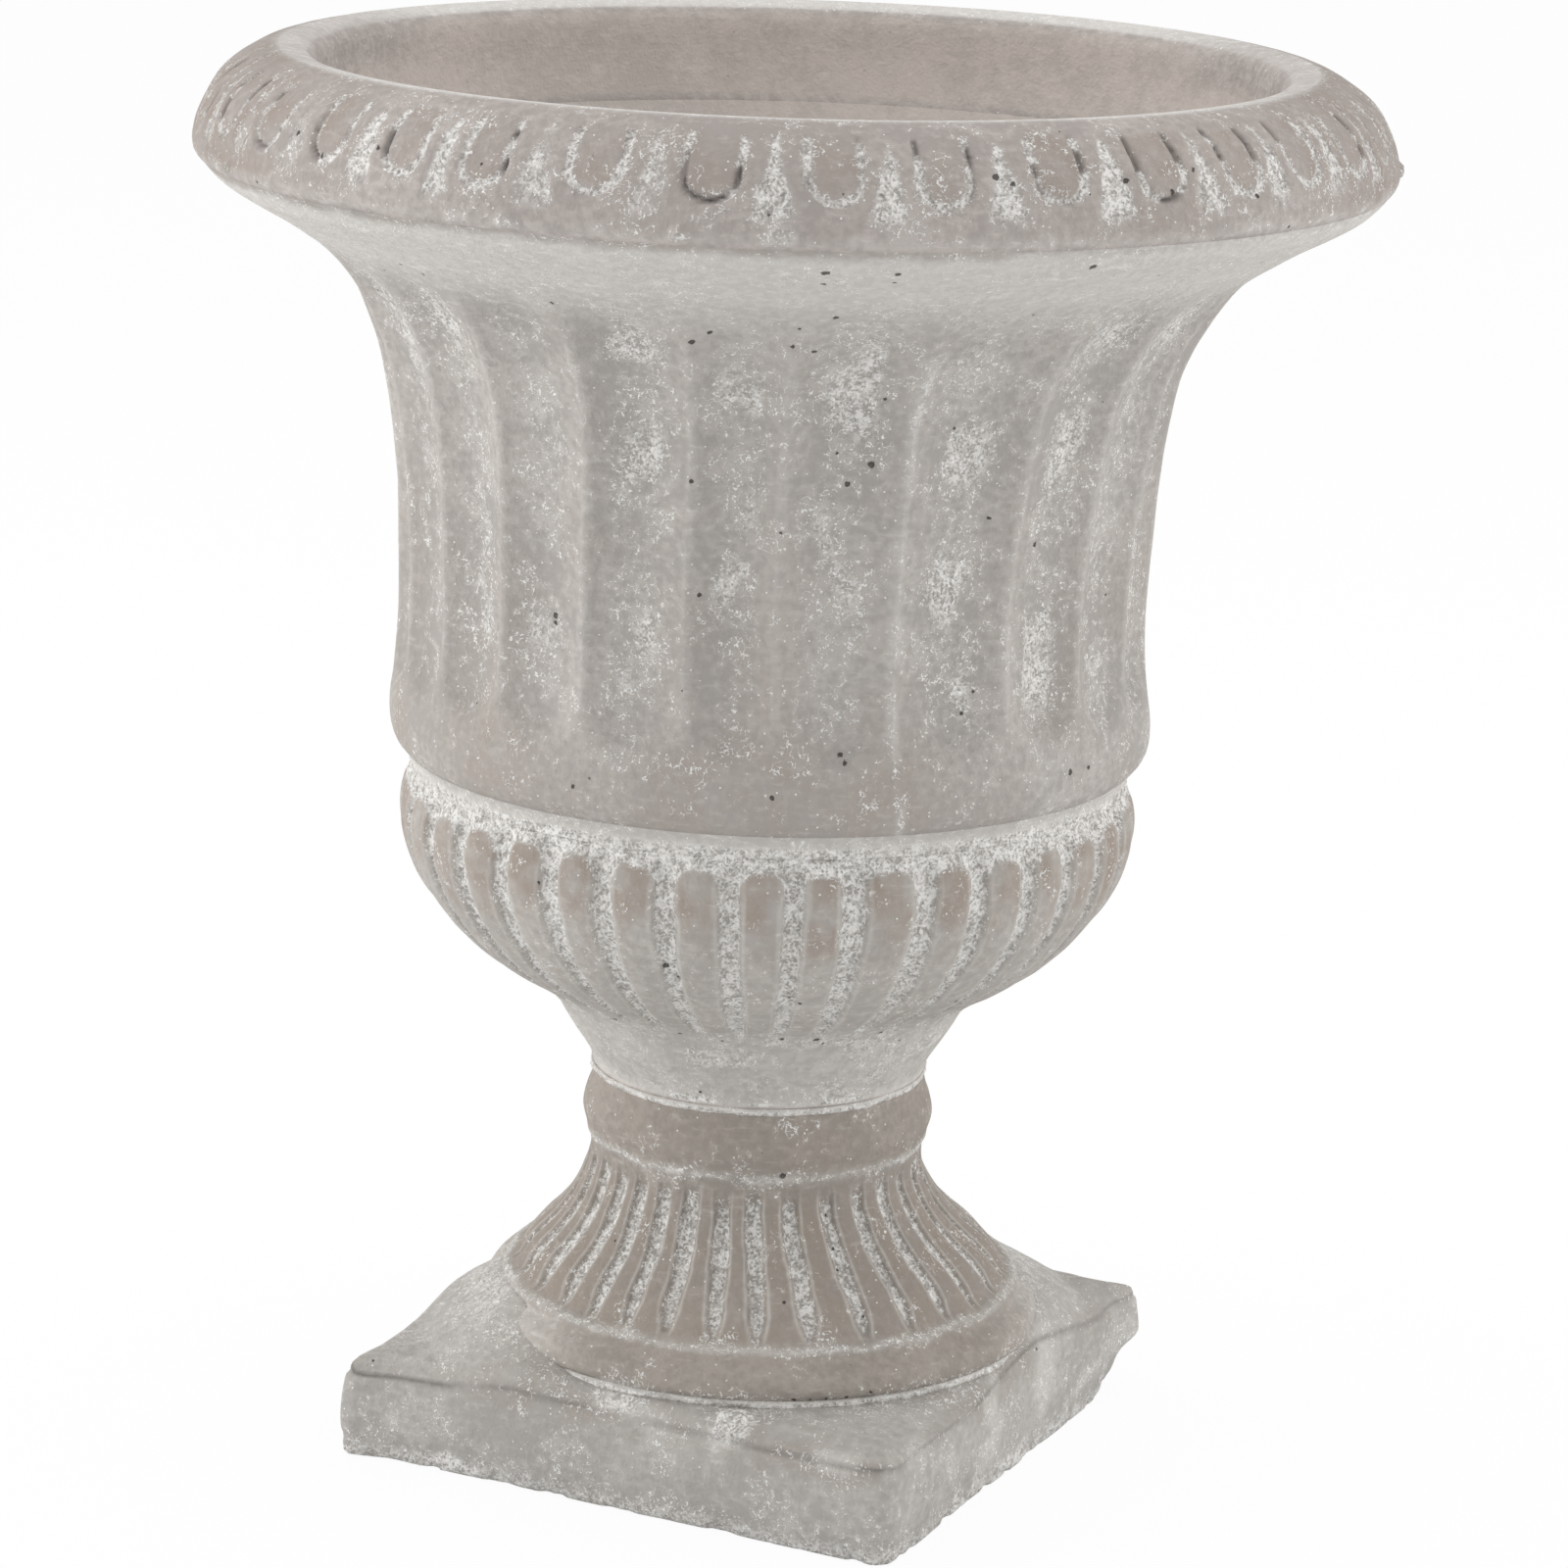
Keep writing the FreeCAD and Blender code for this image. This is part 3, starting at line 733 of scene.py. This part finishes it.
# Bell: the upper body. A bulge at its foot, 24 wide shallow flutes and a cove that carries the
# rim. It is the smoothest casting, with chalk in the flutes and brush marks under the rim.
BELL_TURNS = 660
BELL_STEP = 1.4
FLUTES = 24
FLUTE_RIDGES = [-58, -43.5, -28, -12, 1, 18, 37, 52.5, 67.5]
BELL_LINE = [
    (79.2, 155.6), (81.2, 158.0), (82.0, 161.3), (82.0, 164.5), (81.2, 171.0), (80.7, 177.5), (80.3, 190.5),
    (80.8, 203.5), (81.6, 216.5), (83.2, 229.5), (84.4, 236.0), (86.0, 242.5), (88.7, 249.0), (92.2, 255.5),
    (97.1, 262.0), (100.6, 265.3), (105.2, 268.5), (110.5, 271.8), (116.4, 275.0), (121.6, 278.3),
    (125.2, 282.15),
]
BORE_LINE = [
    (96.2, 283.1), (92.8, 278.5), (85.8, 269.5), (78.3, 259), (72.8, 248), (68.5, 234),
    (66.3, 222), (66, 215),
]
REBATE = (70.8, 161.4)  # radius and top of the step that fits over the cup's upstand
RIM_OFFSET = 1.9  # how far the rim stands off centre, to the camera's right
FLUTE_DEPTH = 3.2
FLUTE_FOOT = 169  # heights of the flutes' ends
FLUTE_TOP = 270
RIDGE_ROUNDING = 0.04  # as a share of half a flute
SEAM = 19  # bearing of the mould's seam
SEAM_WIDTH = 0.8
BELL_HOLES = [
    (4, 277.6, 1.5), (10.5, 277.3, 1.2), (10.5, 275.0, 0.7), (3.8, 274.4, 0.8), (29, 278.3, 1.4),
    (6, 265.9, 1.1), (1, 258.1, 0.8), (3.8, 257.1, 0.8), (-8.5, 260.7, 0.9), (-11, 258.8, 1.1),
    (-27, 264.6, 0.8), (13, 232.4, 1.4), (10.2, 228.2, 0.9), (-12, 229.2, 0.8), (0.5, 218.5, 0.6),
    (-35, 197, 1.2), (-34.8, 195.8, 0.9), (-10.7, 205.5, 0.7), (32.2, 221.1, 0.8), (42, 213.3, 0.9),
    (10.5, 173.0, 1.1), (10.9, 171.8, 1.0), (50, 164.5, 1.1), (54, 164.5, 0.9), (32, 184, 0.8),
    (1, 165.2, 0.8), (-29, 163.2, 0.7),
]
BELL_BODY = (0.41, 0.387, 0.363, 1)
BELL_STAIN = (0.34, 0.30, 0.27, 1)


def leaned(spots):
    """The rim was bedded a little off centre, and the cove was drawn over to it."""
    return aside(spots, RIM_OFFSET * smooth(238, 281, spots[:, 2]))


bell_foot = BELL_LINE[0][1]
bell_top = BELL_LINE[-1][1]
bell = turned(
    "bell_casting",
    [
        curved(BELL_LINE, BELL_STEP),
        straight([BELL_LINE[-1], BORE_LINE[0]], 4),
        curved(BORE_LINE, 3.5),
        straight([BORE_LINE[-1], (bowl_radius, REBATE[1]), REBATE, (REBATE[0], bell_foot), BELL_LINE[0]], 6),
    ],
    BELL_TURNS,
)
spots = spots_of(bell)
bearing, radius, height = around(spots)
skin_from = np.interp(height, (155, 215, 250, 270, 281, 283), (73, 74, 80, 95, 108, 122))
outside = np.where(radius > skin_from, 1.0, 0.0)
edge = smooth(bell_foot, bell_foot + 1, height) * (1 - smooth(281, bell_top, height))

# the flutes, with rounded ridges and round ends, and the mould's seam near the front
share = between_marks(bearing + 0.9 * swell(spots, 40, 80), all_round(FLUTE_RIDGES, FLUTES))
middle = 1 - np.abs(2 * share - 1)
middle = np.sqrt(middle**2 + RIDGE_ROUNDING**2) - RIDGE_ROUNDING
hollow = middle * (2 - middle)
low_end = FLUTE_FOOT + 6 * (1 - middle) ** 2
high_end = FLUTE_TOP - 5 * (1 - middle) ** 2
length = smooth(low_end, low_end + 7, height) * (1 - smooth(high_end - 14, high_end, height))
push = 0.45 * swell(spots, 45, 71) + 0.22 * swell(spots, 14, 72) + 0.07 * swell(spots, 4, 73)
push -= FLUTE_DEPTH * hollow * length
seam = peak(bearing - SEAM - swell(spots, 30, 74), SEAM_WIDTH) * (1 - smooth(250, 262, height))
seam *= smooth(-0.5, 0.5, swell(spots, 7, 78))
push += 0.35 * seam
move_spots(bell, leaned(pushed(spots, radius, push * outside * edge)))

patches = smooth(-0.4, 0.6, swell(spots, 13, 75) + 0.5 * swell(spots, 5, 76))
in_flutes = length * smooth(0.15, 0.75, middle) * smooth(165, 185, height) * (0.2 + 0.3 * patches)
low_stain = (1 - smooth(160, 240, height)) * smooth(-0.6, 0.6, swell(spots, 20, 77))
# The cove under the rim is painted pale, partly its own paler cement and partly painted light from the white
# floor below it. rim_shade is painted shade in the crevice under the rim, fading to the camera's right.
under_rim = smooth(258, 272, height)
rim_shade = smooth(279.6, 281.8, height + 0.9 * swell(spots, 6, 79))
rim_shade *= 1 - 0.75 * smooth(5, 45, bearing) * (bearing < 110)
# A thin pale line along each ridge is a painted highlight.
ridge_highlight = (1 - smooth(0.02, 0.12, middle)) * length
paint(
    bell,
    slurry=outside * (in_flutes + 0.45 * seam + 0.2 * under_rim * patches + 0.12 + 0.12 * patches),
    stain=outside * (0.7 * low_stain + 0.25 * (1 - under_rim) * (1 - middle) + 0.7 * rim_shade),
    pale=outside * (0.8 * under_rim * (1 - rim_shade) + 0.2 * ridge_highlight + 0.4 * seam),
    inner=1 - outside,
)
holes = air_holes(spots_of(bell), BELL_HOLES)
handed_over(bell, "fluted_bell", cement("bell_cement", BELL_BODY, BELL_STAIN, holes))


# Rim: the rolled rim, cast on its own and bedded on the bell's cove. 36 smooth tongues, each in a
# U-shaped groove that is partly filled with slurry, and between them rough darts that flare down.
RIM_TURNS = 1200
RIM_STEP = 0.72
TONGUES = 36
TONGUE_BEARINGS = [-37.5, -29, -18, -7.5, 3.5, 13, 24, 34.5, 44.5, 54]
RIM_LINE = [
    (125.25, 282.1), (126.5, 283.6), (126.8, 285.3), (126.4, 288.0), (125.4, 291.3), (124.0, 294.5),
    (121.9, 297.8), (118.3, 301.0), (115.6, 302.7), (112.6, 304.2), (109.8, 304.9), (107.0, 304.7),
    (104.4, 304.2), (102.3, 303.0), (101.2, 300.9),
]
RIM_CREST = 10  # which of these points is the highest
RIM_BORE_LINE = [(101.2, 300.9), (100.8, 297.5), (100.2, 293.5), (98.5, 288), (96.2, 283.1)]
TONGUE_RADIUS = 124  # where the tongues' widths are measured
TONGUE_HALF = 4.9
TONGUE_GROOVE = 0.55
TONGUE_GROOVE_DEPTH = 1.5
DART_DEPTH = 0.45
OPEN_GROOVES = (38, 11)  # bearing of the open, dark grooves, and their spread
DUSKY_TONGUES = (34, 14)  # the same of the darkest tongues
RIM_HOLES = [
    (18.5, 295.8, 1.4), (20, 294.5, 0.9), (31, 294.5, 1.2), (36, 292.5, 1.1), (39, 295.8, 0.8),
    (-52, 294.5, 1.0), (-47, 291.3, 0.9), (-40, 294.5, 0.8), (-1.5, 288.5, 0.7), (46, 290, 0.9),
]
RIM_DROPS = [  # drops of cement at its foot: bearing, height and width
    (-25.6, 283.6, 5), (-10, 283.8, 4), (-1.4, 284, 7), (88, 284.8, 4), (-64, 284, 4),
]
DROP_HEIGHT = 1.1
RIM_BODY = (0.41, 0.373, 0.352, 1)
RIM_STAIN = (0.325, 0.28, 0.25, 1)

rim = turned(
    "rim_casting",
    [
        curved(RIM_LINE, RIM_STEP),
        curved(RIM_BORE_LINE, 2.2),
        straight([RIM_BORE_LINE[-1], RIM_LINE[0]], 3),
    ],
    RIM_TURNS,
)
spots = spots_of(rim)
bearing, radius, height = around(spots)
outside = np.where(radius > 109.5, 1.0, 0.0) * smooth(282.4, 283.6, height)

# where each point lies: along the outline from the foot, and across from the nearest tongue
line = np.array(RIM_LINE)
steps = np.concatenate([[0], np.cumsum(np.hypot(*np.diff(line, axis=0).T))])
along = np.interp(height, line[: RIM_CREST + 1, 1], steps[: RIM_CREST + 1])
share = between_marks(bearing, all_round(TONGUE_BEARINGS, TONGUES))
pitch = 2 * math.pi / TONGUES * TONGUE_RADIUS
across = np.minimum(share, 1 - share) * pitch + 0.35 * swell(spots, 6, 91) + 0.15 * swell(spots, 2, 92)
bottom = steps[4] + 4.5 + 0.8 * swell(spots, 14, 93)
half_width = TONGUE_HALF + 0.4 * swell(spots, 18, 106)
away = np.where(along > bottom, across, np.hypot(across, np.minimum(along - bottom, 0))) - half_width
head = 1 - smooth(steps[8] - 2.5, steps[8] + 1.0, along)

# tongues in U-shaped grooves, which are open in places, with painted shade in them, and filled in others
open_part = peak(bearing - OPEN_GROOVES[0], OPEN_GROOVES[1]) * smooth(bottom - 1, bottom + 2, along)
groove = peak(away, TONGUE_GROOVE) * head
tongue = (1 - smooth(-1.4, -0.2, away)) * head
filled = smooth(-0.6, -0.2, swell(spots, 5, 94) - 0.8 * open_part)

# rough darts between the tongues, flared at the foot, with blobs
strength = 0.55 + 0.45 * smooth(-0.5, 0.5, swell(spots, 11, 101))
flare = 0.7 + 3.2 * np.clip((steps[7] - along) / (steps[7] - steps[3]), 0, 1)
from_dart = pitch / 2 - across - flare + 0.8 * swell(spots, 2.4, 102)
dart = (1 - smooth(-1.0, 1.0, from_dart)) * smooth(steps[2], steps[3] + 1.5, along) * head * strength
blobs = smooth(0.45, 0.75, swell(spots, 4.5, 103)) * dart * (1 - smooth(steps[3], steps[4], along))
push = 0.7 * blobs - TONGUE_GROOVE_DEPTH * groove * (1 - 0.65 * filled) - 0.25 * tongue - DART_DEPTH * dart
push += 0.15 * (dart + groove * filled) * grit(spots)
push += 0.35 * swell(spots, 30, 97) + 0.12 * swell(spots, 5, 98)
for turn, up, wide in RIM_DROPS:
    off = np.hypot(np.radians(bearing - turn) * radius, height - up) + 0.5 * swell(spots, 2.5, 107)
    drop = 1 - smooth(wide / 2 - 1.2, wide / 2 + 0.6, off)
    push += DROP_HEIGHT * drop
    dart = np.maximum(dart, 0.6 * drop)
move_spots(rim, leaned(pushed(spots, radius, push * outside)))

# the pale lip, with a painted highlight along its crest, widest in front and at the back, and the smooth
# lining inside
halo = peak(away, 1.1) * head
# The rim's sides, to the camera's left and right, get painted shade: more stain and grime, less chalk and
# less pale.
shaded_sides = smooth(40, 75, np.abs(bearing)) * (1 - smooth(105, 140, np.abs(bearing)))
dusky = 0.4 * peak(bearing - DUSKY_TONGUES[0], DUSKY_TONGUES[1]) * head + 0.8 * shaded_sides
front_and_back = 1 - smooth(45, 70, np.minimum(np.abs(bearing), 180 - np.abs(bearing)))
lip_line_and_highlight = smooth(102.4, 103.6, radius) * (1 - smooth(109, 111.5, radius)) * smooth(302.2, 303.2, height)
lip_line_and_highlight *= 0.45 + 0.55 * front_and_back
tips = (1 - smooth(12, 34, np.abs(np.abs(bearing) - 97))) * smooth(292, 299, height)
lining = (1 - smooth(101.4, 102.6, radius)) * np.where(height > 283.5, 1, 0) * (1 - 0.9 * tips)
rim_foot = 1 - smooth(0.5, 4.5, steps[-1] * (height < 282.2) + along + 1.2 * swell(spots, 5, 104))
chalky = (0.75 * dart + 0.75 * halo * filled) * (1 - 0.3 * shaded_sides)
speckled = (dart + halo) * smooth(0.55, 0.75, swell(spots, 1.6, 105))
paint(
    rim,
    slurry=outside * (chalky + 0.18 + 0.15 * swell(spots, 8, 99)) + 0.3 * lip_line_and_highlight,
    stain=outside * (0.45 * tongue + 0.25 + 0.3 * swell(spots, 15, 100) + dusky) * (1 - rim_foot),
    pale=lip_line_and_highlight + 0.35 * outside * dart * (1 - shaded_sides) + 0.3 * outside * rim_foot,
    grime=outside * (0.85 * groove * (1 - filled) + 0.13 * shaded_sides + 0.5 * speckled),
    inner=lining,
)
holes = air_holes(spots_of(rim), RIM_HOLES)
handed_over(rim, "tongue_and_dart_rim", cement("rim_cement", RIM_BODY, RIM_STAIN, holes))


# Beds: the cement between plinth, socle, cup and bell, trowelled on wet and squeezed out in a
# thin ragged line. The one under the bell is thick and whitish, and stands a little proud.
BED_TURNS = 900
BED_BODY = (0.42, 0.395, 0.37, 1)
BED_STAIN = (0.35, 0.31, 0.28, 1)


def bed(name, node, inner, edge_line, ragged, crest, seed, offset=0):
    """A washer of cement. Its edge follows radii from the foot up, and is rough below a pale crest."""
    low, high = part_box(node)
    heights = np.linspace(low.z / MM, high.z / MM, len(edge_line))
    edge_points = list(zip(edge_line, heights))
    piece = turned(
        name,
        [
            straight([(inner, heights[0]), edge_points[0]], 3),
            curved(edge_points, 0.4),
            straight([edge_points[-1], (inner, heights[-1]), (inner, heights[0])], 3),
        ],
        BED_TURNS,
    )
    spots = spots_of(piece)
    radius = around(spots)[1]
    edge = smooth(min(edge_line) - 1.5, min(edge_line) - 0.3, radius)
    uneven = swell(spots, 9, seed) + 0.6 * swell(spots, 3, seed + 1)
    below = 1 - smooth(crest - 0.3, crest + 0.7, spots[:, 2] + 0.3 * uneven)
    line = peak(spots[:, 2] - crest + 0.3 * uneven, 0.6)
    push = ragged * uneven + 0.4 * below * grit(spots) + 0.25 * line
    move_spots(piece, aside(pushed(spots, radius, edge * push), offset * smooth(inner, inner + 20, radius)))
    paint(piece, slurry=edge * (0.3 + below * (0.5 + 0.2 * uneven)), pale=edge * (0.5 + 0.4 * line))
    handed_over(piece, node, bed_finish)


bed_finish = cement("bed_cement", BED_BODY, BED_STAIN)
bed(
    "plinth_bed_line", "plinth_bed", hole, (62.3, 62.2, 61.8),
    ragged=0.3, crest=27.0, seed=121, offset=SOCLE_OFFSET,
)
bed("neck_bed_line", "neck_bed", hole, (36.6, 36.9, 36.7), ragged=0.35, crest=83.4, seed=131)
bed(
    "body_bed_band", "body_bed", UPSTAND_RADIUS, (77.5, 77.6, 77.7, 78.2, 79.1),
    ragged=0.2, crest=152.6, seed=141,
)


# Dowel and grout: a plain steel bar that pins plinth, socle and cup, and the cement that fills
# the hole round it. Both are shut in, but for the end of the grout in the plinth's underside.
STEEL = (0.42, 0.41, 0.39, 1)
RUST = (0.21, 0.115, 0.062, 1)


def bar_steel():
    finish = Finish("bar_steel", 0.45)
    finish.surface.inputs["Metallic"].default_value = 0.9
    rust = finish.rise(finish.clouds(6, 5.0), 0.5, 0.65)
    drawn = finish.clouds(1.2, 3.0, (1, 1, 0.05))
    finish.feed("Base Color", finish.mix(rust, STEEL, RUST))
    finish.relief(0.1 * rust + 0.08 * drawn)
    return finish.material


for node, finish in (("stem_dowel", bar_steel()), ("dowel_grout", bed_finish)):
    inner_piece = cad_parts[node]
    inner_piece.data.materials.clear()
    inner_piece.data.materials.append(finish)


# Floor and backdrop: a plain white sweep. The camera sees it nearly as plain white, with just
# enough of its real shading left in it to keep the urn's soft shadow.
SWEEP_RADIUS = 6  # metres, as the lamps' and the camera's places are
SWEEP_SHADE = (0.86, 0.86, 0.86, 1)
SWEEP_WHITE = 0.94  # share of plain white that the camera sees

bpy.ops.mesh.primitive_circle_add(vertices=96, radius=SWEEP_RADIUS, fill_type="NGON")
floor = bpy.context.object
floor.name = "floor"
sweep = Finish("floor_white", 1.0)
sweep.surface.inputs["Base Color"].default_value = SWEEP_SHADE
sweep.surface.inputs["Specular IOR Level"].default_value = 0
glow = sweep.node("ShaderNodeEmission", {}, {"Strength": 1.0})
lit = Wire(sweep, sweep.surface.outputs[0])
blend = sweep.node("ShaderNodeMixShader", {}, {0: SWEEP_WHITE * sweep.seen(), 1: lit, 2: glow})
sweep.tree.links.new(blend.socket, sweep.tree.nodes["Material Output"].inputs["Surface"])
floor.data.materials.append(sweep.material)


# Light: a pale room, and big soft lamps at both sides and overhead, so that the side that faces
# the camera is the darkest, as in a white product tent.
ROOM_LIGHT = 0.8
LAMP_SIZE = 1.4
LAMP_AIM = (0, 0, 0.15)

room = bpy.data.worlds.new("room")
bpy.context.scene.world = room
room.use_nodes = True
sky = Nodes(room.node_tree)
strength = ROOM_LIGHT + (1 - ROOM_LIGHT) * sky.seen()
sky.tree.links.new(strength.socket, sky.tree.nodes["Background"].inputs["Strength"])
sky.tree.nodes["Background"].inputs["Color"].default_value = (1, 1, 1, 1)


def softbox(name, bearing, away, height, glow):
    """A square lamp that faces the urn's middle. Its glow is how bright its face is, 1 for white."""
    lamp = bpy.data.lights.new(name, "AREA")
    lamp.size = LAMP_SIZE
    lamp.energy = glow * math.pi * LAMP_SIZE**2
    holder = bpy.data.objects.new(name, lamp)
    bpy.context.collection.objects.link(holder)
    angle = math.radians(bearing - SIDE_OF_CAMERA)
    holder.location = (away * math.cos(angle), away * math.sin(angle), height)
    holder.rotation_euler = (Vector(LAMP_AIM) - holder.location).to_track_quat("-Z", "Y").to_euler()


softbox("left_softbox", bearing=-88, away=1.2, height=0.34, glow=2.1)
softbox("right_softbox", bearing=88, away=1.2, height=0.34, glow=1.42)
softbox("top_softbox", bearing=180, away=0.3, height=1.6, glow=0.8)


# Camera: a long lens on a stand, a little above the urn's top and turned 26 degrees from the
# plinth's front. Fitted to the plinth's corners and the mouth's ellipse in the photograph.
CAMERA_TURN = math.radians(26)
CAMERA_AWAY = 1.09642
CAMERA_HEIGHT = 0.42869
CAMERA_TILT = 0.2519
CAMERA_PAN = 0.00325
CAMERA_ROLL = 0.0326
LENS = 119.484

eye = bpy.data.cameras.new("camera")
eye.lens = LENS
eye.sensor_width = 36
camera = bpy.data.objects.new("camera", eye)
bpy.context.collection.objects.link(camera)
stand = Matrix.Translation(
    (CAMERA_AWAY * math.sin(CAMERA_TURN), -CAMERA_AWAY * math.cos(CAMERA_TURN), CAMERA_HEIGHT)
)
aim = Matrix.Rotation(CAMERA_TURN - CAMERA_PAN, 4, "Z") @ Matrix.Rotation(math.pi / 2 - CAMERA_TILT, 4, "X")
camera.matrix_world = stand @ aim @ Matrix.Rotation(CAMERA_ROLL, 4, "Z")
bpy.context.scene.camera = camera
bpy.context.scene.view_settings.view_transform = "Standard"
